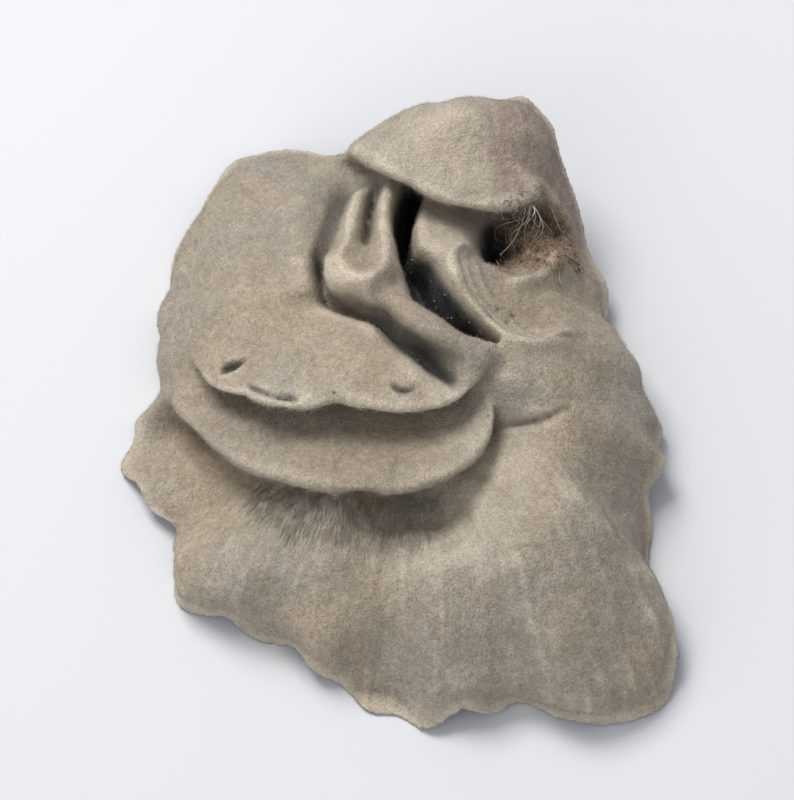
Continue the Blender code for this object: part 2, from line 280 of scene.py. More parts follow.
class Sheet:
    """The sheet as it folds: where its points lay when flat, how far they have moved, and their height."""

    def __init__(self, x, y, height):
        self.x = x
        self.y = y
        self.height = height
        self.moved = np.zeros(x.shape + (2,))

    def nearness(self, at, reach, turn=0.0):
        """Falls from 1 at a spot to nearly 0 at twice the reach along and across a turned oval.

        It is exp(-(along / its reach)^2 - (across / its reach)^2).
        """
        dx = self.x - at[0]
        dy = self.y - at[1]
        c = np.cos(np.radians(turn))
        s = np.sin(np.radians(turn))
        return np.exp(-((dx * c + dy * s) / reach[0])**2 - ((dy * c - dx * s) / reach[1])**2)

    def swell(self, at, reach, rise, turn=0.0):
        """Raises a soft mound, or a hollow where rise is negative."""
        self.height = self.height + rise * self.nearness(at, reach, turn)

    def lap(self, points, overhang, edge, reach, rise, drop, run, fade=0.15):
        """The sheet on the left of the path is pushed out over the sheet on its right, which lies lower.

        The push is the overhang times tanh(away / edge) times exp(-(away / reach)^2), so it reverses at the
        edge and dies out at the reach. The upper side rises a little at its edge, and the lower side drops
        by exp(-(away / run)^2) of the drop. Returns how far each point belongs to the lower side, from 0
        to 1.
        """
        path = Path(self.x, self.y, points, fade)
        turn = np.tanh(path.away / edge)
        below = 0.5 + 0.5 * turn
        near = np.exp(-(path.away / reach)**2)
        self.moved = self.moved - (overhang * path.window * turn * near)[..., None] * path.across
        self.height = self.height + path.window * (rise * (1 - below) * near
                                                   - drop * below * np.exp(-(path.away / run)**2))
        return below

    def pleat(self, points, rise, width, pinch=0.4, fade=0.15, blunt=2.2, within=1.0):
        """Pinches the sheet into a ridge along the path, or draws it down into a furrow if rise is negative.

        The width is one value, or one for each point of the path. With k the distance from the path over
        the width, the ridge is rise times exp(-|k|^blunt) high, and the sheet is drawn in towards it by
        pinch times the width times k exp(-k^2).
        """
        path = Path(self.x, self.y, points, fade)
        numbers = np.arange(len(points))
        half = np.interp(path.place, numbers, np.broadcast_to(width, numbers.shape))
        k = path.away / half
        strength = path.window * within
        self.height = self.height + rise * strength * np.exp(-np.abs(k)**blunt)
        self.moved = self.moved - (pinch * half * strength * k * np.exp(-k**2))[..., None] * path.across


def fold(x, y, to_margin, rim_height, angle):
    """Places of the sheet's points once it has dried, from their places on the flat outline.

    The sheet bows up into a low bowl turned over: at the share s of the way out to the margin it stands
    (1 - s^BOW) of the way up from the margin's height to the crown's. Mounds, laps and pleats then fold
    it one after another, and waves of the bearing ruffle its margin and curl it under.
    """
    sheet = Sheet(x, y, rim_height + (CROWN - rim_height) * (1 - to_margin**BOW))

    # The dome beside the scar, the cheek on the right, the plateau and the shoulder left of it.
    sheet.swell((8.5, 37.5), (13.5, 8.0), 8.0, -4)
    sheet.swell((28, -14), (10, 14), 4.0)
    sheet.swell((24, -36), (10, 12), 3.0, 20)
    sheet.swell((-10, -3), (16, 4.5), 1.5, 5)
    sheet.swell((-27, 16), (8, 16), 2.5, 15)
    # The hollow below the roll and the higher ground left of it, the valley at the lower left, and the
    # fan's left lobe.
    sheet.swell((5, -29), (10, 6), -5.5)
    sheet.swell((-15, -27.5), (9, 4.5), 2.5, -8)
    sheet.swell((-37, -24), (9, 6), -5.0, 20)
    sheet.swell((-24, -37), (12, 5), 3.0, 15)

    # The dome overhangs the collar, the wavy lip the roll, the roll the fan, and the loop's foot the plateau.
    below_dome = sheet.lap(DOME_EDGE, overhang=4.0, edge=0.9, reach=5.0, rise=2.0, drop=7.0, run=8.0)
    sheet.lap(LIP, overhang=5.0, edge=0.8, reach=6.0, rise=1.2, drop=9.0, run=13.0)
    sheet.lap(ROLL, overhang=5.0, edge=1.6, reach=7.0, rise=4.5, drop=9.0, run=10.0, fade=0.12)
    sheet.lap(FOOT_EDGE, overhang=1.5, edge=0.7, reach=3.0, rise=0.8, drop=4.0, run=3.2, fade=0.2)

    # The loop is a ridge bent into a U, full at its foot, with a slit between its legs. A ridge runs on
    # from it, and a deep crease runs round its foot and under the ridge.
    sheet.pleat(LOOP, rise=4.5, width=2.1, fade=0.06, within=below_dome)
    sheet.swell((-6.8, 13), (2.4, 4.0), 2.2)
    sheet.pleat(SLIT, rise=-6.0, width=1.1, fade=0.3, within=below_dome)
    sheet.pleat(RIDGE, rise=3.0, width=2.2)
    sheet.pleat(CREASE, rise=-3.5, width=CREASE_WIDTHS, pinch=0.3, fade=0.12)
    # The slot beside the loop, where the sheet turns in so far that its black face shows; its felt walls are
    # painted black for that face and their deep shade.
    sheet.pleat(SLOT, rise=-14.0, width=SLOT_WIDTHS, pinch=0.2, fade=0.06, blunt=4.0, within=below_dome)

    # The collar round the hollow of the scar, the fold inside it, the hollow and the hole in it.
    sheet.swell((10, 12), (7, 9), 3.0, 30)
    sheet.pleat(COLLAR, rise=2.8, width=1.6, fade=0.12, within=below_dome)
    sheet.pleat(INNER_FOLD, rise=2.5, width=1.8, fade=0.25)
    sheet.swell((16, 18.2), (6.0, 5.0), -5.0)
    sheet.swell((14.2, 18.8), (2.6, 2.8), -8.0)
    # The stub of the stalk, cut off flat.
    stub = sheet.nearness((22.5, 19.5), (3.8, 3.2))
    sheet.height = sheet.height + 6.0 * np.minimum(stub, 0.62)

    # Two soft folds down the plateau, and the crease between the cheek and the ridge.
    sheet.pleat(PLATEAU_FOLD, rise=1.3, width=3.0, pinch=0.1)
    sheet.pleat(PLATEAU_VALLEY, rise=-1.4, width=3.0, pinch=0.1)
    sheet.pleat(CHEEK_CREASE, rise=-1.6, width=1.1, fade=0.3)

    # The whole sheet is uneven, its margin is ruffled, and it curls under.
    sheet.height = sheet.height + UNEVEN * (hills(x, y, 11.0, 1) + 0.5 * hills(x, y, 5.0, 2))
    ruffle = RUFFLES * to_margin**5 * np.sin(13 * angle + 1.5 * np.sin(3 * angle))
    frill = FRILL * to_margin**12 * np.sin(34 * angle + 2.5 * np.sin(5 * angle))
    sheet.height = sheet.height + ruffle + frill
    curl = ramp(to_margin, 0.84, 1.0) ** 2 * (3.0 + 2.5 * np.sin(5 * angle + 0.6) + 1.5 * np.sin(9 * angle))
    plain_dome = 1 - 0.8 * np.exp(-((angle - DOME_BEARING) / 0.3)**2)
    curl = curl + FRILL * plain_dome * to_margin**8 * np.sin(27 * angle + 2.0 * np.sin(4 * angle) + 1)
    outward = np.stack([np.cos(angle), np.sin(angle)], axis=-1)
    flat = np.stack([x, y], axis=-1) + sheet.moved - curl[..., None] * outward
    height = np.maximum(sheet.height, THICKNESS / 2)
    return np.concatenate([flat, height[..., None]], axis=-1)


def flat_outline(u, v):
    """The sheet before it folds, from places u, v on a square.

    The square is mapped to a disc by u sqrt(1 - v^2 / 2) and v sqrt(1 - u^2 / 2), and the disc is stretched
    to the ear's outline. Returns across, along, the share of the way out to the margin, the margin's
    height and the bearing.
    """
    disc_x = u * np.sqrt(1 - v**2 / 2)
    disc_y = v * np.sqrt(1 - u**2 / 2)
    to_margin = np.hypot(disc_x, disc_y)
    angle = np.arctan2(disc_y, disc_x)
    margin = curve_through(MARGIN, STEPS_BETWEEN, closed=True)
    margin_x = margin[:, 0] - MIDDLE[0]
    margin_y = margin[:, 1] - MIDDLE[1]
    bearing = np.arctan2(margin_y, margin_x)
    radius = np.interp(angle, bearing, np.hypot(margin_x, margin_y), period=2 * np.pi)
    rim_height = np.interp(angle, bearing, margin[:, 2], period=2 * np.pi)
    x = MIDDLE[0] + to_margin * radius * np.cos(angle)
    y = MIDDLE[1] + to_margin * radius * np.sin(angle)
    return x, y, to_margin, rim_height, angle


def dried_ear(u, v):
    """Places of the folded sheet from places on a square, centred over the origin, its feet pressed flat."""
    places = fold(*flat_outline(u, v))
    corners = places.reshape(-1, 3)
    places[..., :2] -= (corners[:, :2].min(axis=0) + corners[:, :2].max(axis=0)) / 2
    places[..., 2] -= PRESSED
    return places


# The surface is worked out on a square of lines drawn over the flat sheet, four or five to a millimetre.

LINES = 480


def unit(vectors):
    """Vectors shortened or lengthened to 1."""
    return vectors / np.maximum(np.linalg.norm(vectors, axis=-1, keepdims=True), 1e-9)


side = np.linspace(-1, 1, LINES)
square_u, square_v = np.meshgrid(side, side)
middle_sheet = dried_ear(square_u, square_v)
out_of_back = unit(np.cross(np.gradient(middle_sheet, axis=1), np.gradient(middle_sheet, axis=0)))
# Nearness to spots and lines is measured on the flat sheet.
flat_x, flat_y, to_margin = flat_outline(square_u, square_v)[:3]
none = np.zeros_like(to_margin)
sheet = Sheet(flat_x, flat_y, none)


def along_line(line, width, share, fade):
    """How near the sheet lies to a line: its share times its window times exp(-(distance / width)^2).

    The width is one value, or one for each point of the line, which fades in over a share of its length.
    """
    path = Path(flat_x, flat_y, line, fade)
    numbers = np.arange(len(line))
    half = np.interp(path.place, numbers, np.broadcast_to(width, numbers.shape))
    return share * (path.window * np.exp(-(path.away / half)**2))


# Relief too fine for the solid. Soft hills: their size, rise and seed. Ripples that run back from an edge:
# the edge, their spacing, how far back they reach, their rise and seed.
FINE_HILLS = ((6.0, 0.34, 7), (3.1, 0.18, 3), (1.5, 0.09, 4))
RIPPLES = ((LIP, 3.6, 9.0, 0.50, 15), (DOME_EDGE, 3.2, 8.0, 0.26, 16), (ROLL, 4.4, 8.0, 0.42, 17))
# Flutes run down the fan, out from a spot above it: their rise, and how far down they begin and are full.
FLUTES_FROM = (2.0, 25.0)
FLUTE_RISE = 0.16
FLUTED = (12.0, 26.0)
# Lines with their width, share and fade. The wrinkles run beside the collar's own line, and their share is
# a depth. The low folds' share is a height: a furrow left of the loop, a rise under the roll and a furrow
# in the cheek.
WRINKLES = [([(x + shift, y + 0.35 * shift) for x, y in COLLAR], 0.42, depth, 0.3)
            for shift, depth in ((1.7, 0.38), (3.1, 0.34), (4.9, 0.32))]
LOOP_SIDE = ((-15.4, 13.0), (-14.2, 17.0), (-13.4, 20.5), (-12.4, 25.0), (-11.5, 30.0), (-11.2, 34.0))
CHEEK_LINE = ((17.8, -12.6), (20.6, -12.2), (24.0, -11.9), (27.6, -10.6))
LOW_FOLDS = (
    (LOOP_SIDE, 1.2, -1.2, 0.2),
    (((-20, -24.8), (-16.5, -26.5), (-12, -27.5), (-7.5, -27.8)), 3.0, 1.7, 0.3),
    (CHEEK_LINE, 0.5, -0.4, 0.25),
)


def streaks(across, along, seed):
    """Soft random streaks from -1 to 1: hills on a lattice that lies square to the two directions given."""
    return hills(0.8 * across - 0.6 * along, 0.6 * across + 0.8 * along, 1.0, seed)


relief = sum(rise * hills(flat_x, flat_y, size, seed) for size, rise, seed in FINE_HILLS)
fan_bearing = np.arctan2(flat_x - FLUTES_FROM[0], FLUTES_FROM[1] - flat_y)
fan_away = np.hypot(flat_x - FLUTES_FROM[0], FLUTES_FROM[1] - flat_y)
flutes = streaks(fan_bearing * 55, fan_away / 11, 5) + 0.6 * streaks(fan_bearing * 110, fan_away / 7, 6)
on_fan = ramp(-flat_y, *FLUTED)
wrinkled = sum(along_line(*wrinkle) for wrinkle in WRINKLES)
relief = relief + FLUTE_RISE * on_fan * flutes - wrinkled
for edge, spacing, length, rise, seed in RIPPLES:
    path = Path(flat_x, flat_y, edge, 0.15)
    step = np.mean(np.hypot(*np.diff(edge, axis=0).T))
    behind = path.window * ramp(-path.away, 0.2, 2.0) * np.exp(-(path.away / length)**2)
    relief = relief + rise * behind * streaks(path.place * step / spacing, path.away / length, seed)
for low_fold in LOW_FOLDS:
    relief = relief + along_line(*low_fold)

# Short tears in the plateau and just inside its lip: the line, its half widths, its depth and how pale its
# lower rim is. Ovals: the middle, the reach along and across, and the turn in degrees.
TEARS = (
    (((-28.7, -0.2), (-27.6, 0.0), (-26.3, 0.0), (-25.1, 0.3)), (0.30, 0.45, 0.32, 0.12), 1.5, 0.45),
    (((-24.0, -3.2), (-22.2, -4.7), (-20.2, -5.9), (-18.6, -6.3), (-17.0, -6.9)),
     (0.12, 0.27, 0.18, 0.32, 0.10), 1.3, 1.0),
    (((-2.4, -5.9), (-0.9, -6.5), (1.0, -6.2)), (0.18, 0.34, 0.12), 0.9, 0.3),
)
PIN_HOLES = ((14.8, 5.3), (16.4, 3.3), (17.3, 4.8), (13.7, 3.6))
PIN_SIZE = (0.42, 0.42)
SCAR = ((22.4, 20.4), (7.6, 5.6), 25)
SCAR_HOLLOWS = (((18.4, 19.0), (1.7, 1.1), 20), ((24.6, 23.2), (1.5, 1.0), -30))
HOLE = ((14.6, 19.8), (3.7, 3.3))

# Where the sheet is what: black lining painted over the felt in the slot, for its black face and its deep
# shade, black painted in the pit of the hole as its shade, brown wood at the scar, and a stain over the right
# of the dome.
slot = along_line(SLOT, [1.05 * width for width in SLOT_WIDTHS], 1.0, 0.06)
slot = ramp(slot, 0.30, 0.45)
hole = ramp(sheet.nearness(*HOLE), 0.35, 0.62)
scar = ramp(sheet.nearness(*SCAR) + 0.26 * hills(flat_x, flat_y, 2.4, 12), 0.28, 0.62)
stained = ramp(flat_x + 1.5 * hills(flat_x, flat_y, 3.0, 11), 12.0, 16.0) * ramp(flat_y, 23.5, 27.5)

tears, torn_rims = none, none
for line, half, depth, pale in TEARS:
    tears = tears + along_line(line, half, depth, 0.12)
    torn_rims = torn_rims + along_line([(x - 0.25, y - 0.75) for x, y in line], 0.42, pale, 0.15)
pins = sum(sheet.nearness(at, PIN_SIZE) for at in PIN_HOLES)
scar_hollows = sum(sheet.nearness(*hollow) for hollow in SCAR_HOLLOWS)
scar_lumps = 0.55 * hills(flat_x, flat_y, 1.9, 13) + 0.35 * hills(flat_x, flat_y, 1.0, 14)
relief = relief - tears + 0.35 * torn_rims - 0.6 * pins + scar * (scar_lumps - 0.9 * scar_hollows)
middle_sheet = middle_sheet + relief[..., None] * out_of_back

# How the sheet wore and where light is painted on it, as lines with their width, share and fade. The roll and
# the ridge lie deeper than other crests, in shade, and get less of their rubbing and painted highlight. The
# loop is rubbed pale; the sheet between slot and hole, the collar, and the fan under the roll and down its
# middle are painted pale, painted light that lifts their shade.
SHADED_CRESTS = ((ROLL, 3.2, 0.9, 0.05), (RIDGE, 4.0, 0.8, 0.05))
RUBBED_AND_LIT_LINES = (
    (((1.5, 26), (4.8, 22), (7.2, 18), (8.8, 12)), 3.2, 0.6, 0.2),
    (LOOP, 1.8, 0.6, 0.2),
    (COLLAR, 2.8, 0.8, 0.2),
    (((-27, -22.5), (-20, -25.5), (-14, -27), (-8, -27.6)), 3.0, 0.9, 0.2),
    (((16, -12), (13.5, -22), (8, -33), (-1, -40)), 7.0, 0.55, 0.2),
)
# The dome's top, painted paler as a painted highlight.
DOME_TOP = ((6.5, 34.0), (9.5, 7.5), 10)
# The left half of the groove under the roll, the sheet between slot and hole, and the fan right of the
# groove get less painted shade than other hollows. Painted shade lies along the roll's belly under the lip,
# its edge and the ridge.
LESS_SHADE = (
    (((-30, -22), (-23, -25), (-16, -27), (-9, -28.2), (-3, -28.5)), 4.5, 0.85, 0.2),
    (((1, 26), (4.5, 22), (7.5, 18), (8.5, 13)), 4.5, 0.8, 0.2),
    (((15, -14), (13.5, -22), (12.5, -30)), 4.5, 0.6, 0.2),
)
PAINTED_SHADE_LINES = (
    (((-33, -8), (-28.5, -10.6), (-24, -13.3), (-17.5, -16), (-10, -17.6), (-2.6, -17.9), (5, -16.4)),
     5.2, 0.80, 0.12),
    (ROLL, 1.8, 0.40, 0.15),
    (RIDGE, 3.4, 0.85, 0.15),
)
# Painted shade darkens the grooves: the crease, the slit, the bottom of the groove under the roll and the
# two furrows, and a wedge of the crease under the ridge is painted darkest.
PAINTED_GROOVE_SHADE = (
    (CREASE, [0.72 * width for width in CREASE_WIDTHS], 0.95, 0.08),
    (SLIT, 0.75, 0.80, 0.2),
    (((-3, -25.4), (0.5, -25.8), (5, -26.2), (9.0, -24.6)), 1.3, 0.45, 0.3),
    (LOOP_SIDE, 1.3, 0.70, 0.2),
    (CHEEK_LINE, 0.4, 0.45, 0.25),
)
WEDGE = ((1.0, -1.3), (3.6, 1.5), -31)


def softened(values, times):
    """Each value averaged with its four neighbours, itself counted four times, over and over."""
    for _ in range(times):
        padded = np.pad(values, ((1, 1), (1, 1)) + ((0, 0),) * (values.ndim - 2), mode="edge")
        values = (padded[:-2, 1:-1] + padded[2:, 1:-1] + padded[1:-1, :-2] + padded[1:-1, 2:]
                  + 4 * padded[1:-1, 1:-1]) / 8
    return values


def broadly(values):
    """Each value averaged over some three millimetres: every fourth line softened and spread out again."""
    coarse = softened(values[::4, ::4], 60)
    return softened(np.repeat(np.repeat(coarse, 4, axis=0), 4, axis=1), 12)


# Crests stand out from the softened sheet and are painted paler, for wear and a painted highlight, and
# hollows lie behind it and are painted darker, for dirt and painted shade, both by how far they do.
finely = np.sum((softened(middle_sheet, 60) - middle_sheet) * out_of_back, axis=-1)
widely = np.sum((broadly(middle_sheet) - middle_sheet) * out_of_back, axis=-1)
worn_and_lit = np.maximum(0.85 * ramp(-finely, 0.04, 0.45), 0.25 * ramp(-widely, 0.5, 3.0))
for shaded_crest in SHADED_CRESTS:
    worn_and_lit = worn_and_lit * (1 - along_line(*shaded_crest))
worn_and_lit = np.maximum(worn_and_lit, 0.6 * sheet.nearness(*DOME_TOP))
for pale_line in RUBBED_AND_LIT_LINES:
    worn_and_lit = np.maximum(worn_and_lit, along_line(*pale_line))
worn_and_lit = np.maximum(worn_and_lit, np.maximum(np.clip(torn_rims, 0, 1), 0.6 * ramp(to_margin, 0.94, 0.985)))

less_shade = sum(along_line(*unshaded) for unshaded in LESS_SHADE)
dirty_and_shaded = np.maximum(ramp(finely, 0.04, 0.5), 0.8 * ramp(widely, 0.8, 3.4))
dirty_and_shaded = dirty_and_shaded * (1 - np.clip(less_shade, 0, 1))
for shade_line in PAINTED_SHADE_LINES:
    dirty_and_shaded = np.maximum(dirty_and_shaded, along_line(*shade_line))
# Painted shade also darkens the wrinkles, the scar's hollows, the tears and the pin holes.
groove_shade = sum(along_line(*shaded_groove) for shaded_groove in PAINTED_GROOVE_SHADE) + 0.95 * sheet.nearness(*WEDGE)
groove_shade = groove_shade + 0.4 * wrinkled + 0.75 * scar * scar_hollows + 1.2 * tears + 0.9 * pins
groove_shade = np.clip(groove_shade, 0, 1)
streaked = on_fan * ramp(flutes, 0.15, 1.3)

# The back of the sheet is set in by the depth of its felt, and both faces draw together at the margin.
FELT_DEPTH = 0.25
MARGIN_THINNING = 0.55

thinned = 1 - MARGIN_THINNING * ramp(to_margin, 0.9, 1.0)
back_face = middle_sheet + out_of_back * ((THICKNESS / 2 - FELT_DEPTH) * thinned)[..., None]
inner_face = middle_sheet - out_of_back * ((THICKNESS / 2) * thinned)[..., None]
for face in (back_face, inner_face):
    face[..., 2] = np.maximum(face[..., 2], 0.0)


def closed_shell(outer, inner):
    """Two grids joined round their rims: the outer as it is, the inner turned over, and a band between."""
    rows = np.arange(outer.shape[0] * outer.shape[1]).reshape(outer.shape[:2])
    quads = np.stack([rows[:-1, :-1], rows[:-1, 1:], rows[1:, 1:], rows[1:, :-1]], axis=-1).reshape(-1, 4)
    rim = np.concatenate([rows[0, :-1], rows[:-1, -1], rows[-1, :0:-1], rows[:0:-1, 0]])
    rim_next = np.roll(rim, -1)
    band = np.stack([rim_next, rim, rim + rows.size, rim_next + rows.size], axis=-1)
    points = np.concatenate([outer.reshape(-1, 3), inner.reshape(-1, 3)])
    return points, np.concatenate([quads, quads[:, ::-1] + rows.size, band])


def mesh_of(name, points, faces, marks):
    """A smooth-shaded mesh from whole arrays, lengths in millimetres, with its marks as colour attributes."""
    mesh = bpy.data.meshes.new(name)
    count, corners = faces.shape
    mesh.vertices.add(len(points))
    mesh.vertices.foreach_set("co", np.asarray(points * MILLIMETRE, np.float32).ravel())
    mesh.loops.add(count * corners)
    mesh.loops.foreach_set("vertex_index", np.asarray(faces, np.int32).ravel())
    mesh.polygons.add(count)
    mesh.polygons.foreach_set("loop_start", np.arange(count, dtype=np.int32) * corners)
    mesh.update(calc_edges=True)
    for mark, values in marks.items():
        layer = mesh.color_attributes.new(mark, "FLOAT_COLOR", "POINT")
        layer.data.foreach_set("color", np.asarray(values, np.float32).ravel())
    mesh.shade_smooth()
    return mesh


def finished(thing):
    """The mesh of an object with its modifiers applied."""
    graph = bpy.context.evaluated_depsgraph_get()
    graph.update()
    return bpy.data.meshes.new_from_object(thing.evaluated_get(graph))


def both_sides(outer, inner):
    """One row of values for every corner of the shell, the outer grid's first."""
    return np.concatenate([np.asarray(outer, float).ravel(), np.asarray(inner, float).ravel()])


# Two marks hold four values each. kind is black lining (painted on the slot's felt too), brown wood, black
# hole (painted shade in the pit) and stain, and the second is worn with painted highlight, dirty with painted
# shade, painted groove shade and streaked. The inner face is all black lining and bears none of the second.
marks = {
    "kind": np.stack([both_sides(slot, none + 1), both_sides(scar, none), both_sides(hole, none),
                      both_sides(stained, none)], axis=-1),
    "wear_and_light": np.stack([both_sides(worn_and_lit, none), both_sides(dirty_and_shaded, none), both_sides(groove_shade, none),
                      both_sides(streaked, none)], axis=-1),
}

# Folds of the shell that touch are fused into one closed skin by voxels of this size. The marks are carried
# over to it from the nearest spot of the shell, and then the skin gets fewer triangles: first the inner
# face, then the whole.
SKIN_VOXEL = 0.40
INNER_TRIANGLES = 40000
SKIN_TRIANGLES = 195000

shell = bpy.data.objects.new("shell", mesh_of("shell", *closed_shell(back_face, inner_face), marks))
bpy.context.scene.collection.objects.link(shell)
fused = shell.modifiers.new("touching_folds_grown_together", "REMESH")
fused.mode = "VOXEL"
fused.voxel_size = SKIN_VOXEL * MILLIMETRE
fused.use_smooth_shade = True
skin = bpy.data.objects.new("wood_ear_skin", finished(shell))
bpy.context.scene.collection.objects.link(skin)
shell.modifiers.clear()

for mark in marks:
    skin.data.color_attributes.new(mark, "FLOAT_COLOR", "POINT")
carried = skin.modifiers.new("marks_carried_over", "DATA_TRANSFER")
carried.object = shell
carried.use_vert_data = True
carried.data_types_verts = {"COLOR_VERTEX"}
carried.vert_mapping = "POLYINTERP_NEAREST"
skin.data = finished(skin)
skin.modifiers.clear()
bpy.data.objects.remove(shell)

kinds = np.empty(len(skin.data.vertices) * 4, np.float32)
skin.data.color_attributes["kind"].data.foreach_get("color", kinds)
is_inner = kinds.reshape(-1, 4)[:, 0] > 0.5
skin.vertex_groups.new(name="inner_face").add(np.nonzero(is_inner)[0].tolist(), 1.0, "REPLACE")
coarser = skin.modifiers.new("fewer_faces_inside", "DECIMATE")
coarser.vertex_group = "inner_face"
coarser.ratio = 1 - (2 * is_inner.sum() - INNER_TRIANGLES) / (2 * len(skin.data.polygons))
skin.data = finished(skin)
skin.modifiers.clear()
skin.data.calc_loop_triangles()
fewer = skin.modifiers.new("fewer_faces", "DECIMATE")
fewer.ratio = min(1.0, SKIN_TRIANGLES / len(skin.data.loop_triangles))
skin.data = finished(skin)
skin.modifiers.clear()
skin.vertex_groups.clear()


# The felt and the black face in one finish: beige-grey felt, mottled, pale where it is rubbed and on crests
# with a painted highlight, darker in the hollows with dirt and painted shade, near black with painted shade
# in the creases, brown wood at the scar, and a blue-black, faintly satin lining.

def mottling_group():
    """Cloudy noise as a group: its scale is 1000 / patch size, and it is spread smoothly from low to high."""
    group = bpy.data.node_groups.new("mottling", "ShaderNodeTree")
    group.interface.new_socket("Place", in_out="INPUT", socket_type="NodeSocketVector")
    for name in ("Patch size", "Low", "High", "Detail"):
        group.interface.new_socket(name, in_out="INPUT", socket_type="NodeSocketFloat")
    group.interface.new_socket("Share", in_out="OUTPUT", socket_type="NodeSocketFloat")
    given = group.nodes.new("NodeGroupInput")
    result = group.nodes.new("NodeGroupOutput")
    scale = group.nodes.new("ShaderNodeMath")
    scale.operation = "DIVIDE"
    scale.inputs[0].default_value = 1000.0
    noise = group.nodes.new("ShaderNodeTexNoise")
    noise.inputs["Roughness"].default_value = 0.55
    spread = group.nodes.new("ShaderNodeMapRange")
    spread.interpolation_type = "SMOOTHSTEP"
    for source, target in (
            (given.outputs["Patch size"], scale.inputs[1]),
            (scale.outputs["Value"], noise.inputs["Scale"]),
            (given.outputs["Place"], noise.inputs["Vector"]),
            (given.outputs["Detail"], noise.inputs["Detail"]),
            (noise.outputs["Fac"], spread.inputs["Value"]),
            (given.outputs["Low"], spread.inputs["From Min"]),
            (given.outputs["High"], spread.inputs["From Max"]),
            (spread.outputs["Result"], result.inputs["Share"])):
        group.links.new(source, target)
    return group


mottling = mottling_group()


class Finish:
    """A material that is built up node by node, with short words for the nodes that it uses."""

    def __init__(self, name):
        self.material = bpy.data.materials.new(name)
        self.material.use_nodes = True
        self.tree = self.material.node_tree
        self.shader = self.tree.nodes["Principled BSDF"]

    def node(self, kind, **settings):
        """A new node with these settings."""
        made = self.tree.nodes.new(kind)
        for setting, value in settings.items():
            setattr(made, setting, value)
        return made

    def join(self, source, target):
        """Links an output to an input."""
        self.tree.links.new(source, target)

    def mark(self, name):
        """The four values of a colour attribute."""
        read = self.node("ShaderNodeAttribute", attribute_name=name)
        split = self.node("ShaderNodeSeparateColor")
        self.join(read.outputs["Color"], split.inputs["Color"])
        return split.outputs["Red"], split.outputs["Green"], split.outputs["Blue"], read.outputs["Alpha"]

    def place(self, stretch=(1, 1, 1)):
        """Object coordinates, stretched."""
        read = self.node("ShaderNodeTexCoord")
        mapping = self.node("ShaderNodeMapping")
        mapping.inputs["Scale"].default_value = stretch
        self.join(read.outputs["Object"], mapping.inputs["Vector"])
        return mapping.outputs["Vector"]

    def cloud(self, place, size, low, high, detail=3.0):
        """Mottling, its patches about this size in millimetres, 0 where the noise is low and 1 where high."""
        made = self.node("ShaderNodeGroup", node_tree=mottling)
        for socket, number in zip(("Patch size", "Low", "High", "Detail"), (size, low, high, detail)):
            made.inputs[socket].default_value = number
        self.join(place, made.inputs["Place"])
        return made.outputs["Share"]

    def spread(self, value, low, high, start, end):
        """A value from low to high made one from start to end, smoothly, and held there beyond."""
        made = self.node("ShaderNodeMapRange", interpolation_type="SMOOTHSTEP")
        for socket, number in zip(("From Min", "From Max", "To Min", "To Max"), (low, high, start, end)):
            made.inputs[socket].default_value = number
        self.join(value, made.inputs["Value"])
        return made.outputs["Result"]

    def times(self, first, second, operation="MULTIPLY"):
        """Two values multiplied, or put together by another operation."""
        made = self.node("ShaderNodeMath", operation=operation)
        for socket, value in zip(made.inputs, (first, second)):
            if isinstance(value, (int, float)):
                socket.default_value = value
            else:
                self.join(value, socket)
        return made.outputs["Value"]

    def colour(self, share, first, second, blend="MIX"):
        """The first colour giving way to the second as the share rises to 1."""
        made = self.node("ShaderNodeMix", data_type="RGBA", blend_type=blend)
        if isinstance(share, (int, float)):
            made.inputs["Factor"].default_value = share
        else:
            self.join(share, made.inputs["Factor"])
        for socket, value in ((made.inputs[6], first), (made.inputs[7], second)):
            if isinstance(value, tuple):
                socket.default_value = (*value, 1.0)
            else:
                self.join(value, socket)
        return made.outputs[2]

    def grey(self, value):
        """A value as a colour without hue."""
        made = self.node("ShaderNodeCombineColor")
        for socket in ("Red", "Green", "Blue"):
            self.join(value, made.inputs[socket])
        return made.outputs["Color"]

    def bump(self, height, distance, strength=1.0):
        """The surface's normal, leaning as if the height stood out by the distance, in millimetres."""
        made = self.node("ShaderNodeBump")
        made.inputs["Distance"].default_value = distance * MILLIMETRE
        made.inputs["Strength"].default_value = strength
        self.join(height, made.inputs["Height"])
        return made.outputs["Normal"]


# The felt, its browner and its greyer patches, its rubbed crests with their painted highlight, its dirt with
# the painted shade of the hollows, the stain, and the painted shade of the creases.
FELT = (0.518, 0.430, 0.318)
FELT_SHADE = (0.388, 0.313, 0.230)
FELT_GREY = (0.442, 0.397, 0.333)
RUBBED_AND_HIGHLIGHT = (0.750, 0.660, 0.520)
DUSKY = (0.215, 0.180, 0.150)
STAIN = (0.280, 0.203, 0.180)
CREASE_SHADE = (0.048, 0.047, 0.048)
# The scar's wood, its paler grain and its rusty spots.
WOOD = (0.185, 0.118, 0.080)
PALE_WOOD = (0.400, 0.288, 0.205)
RUST = (0.420, 0.195, 0.075)
# The black face, the grey bloom on it, and the pale flecks that lie on it and on the felt.
LINING = (0.0190, 0.0195, 0.0220)
BLOOM = (0.095, 0.100, 0.108)
FLECK = (0.62, 0.61, 0.58)


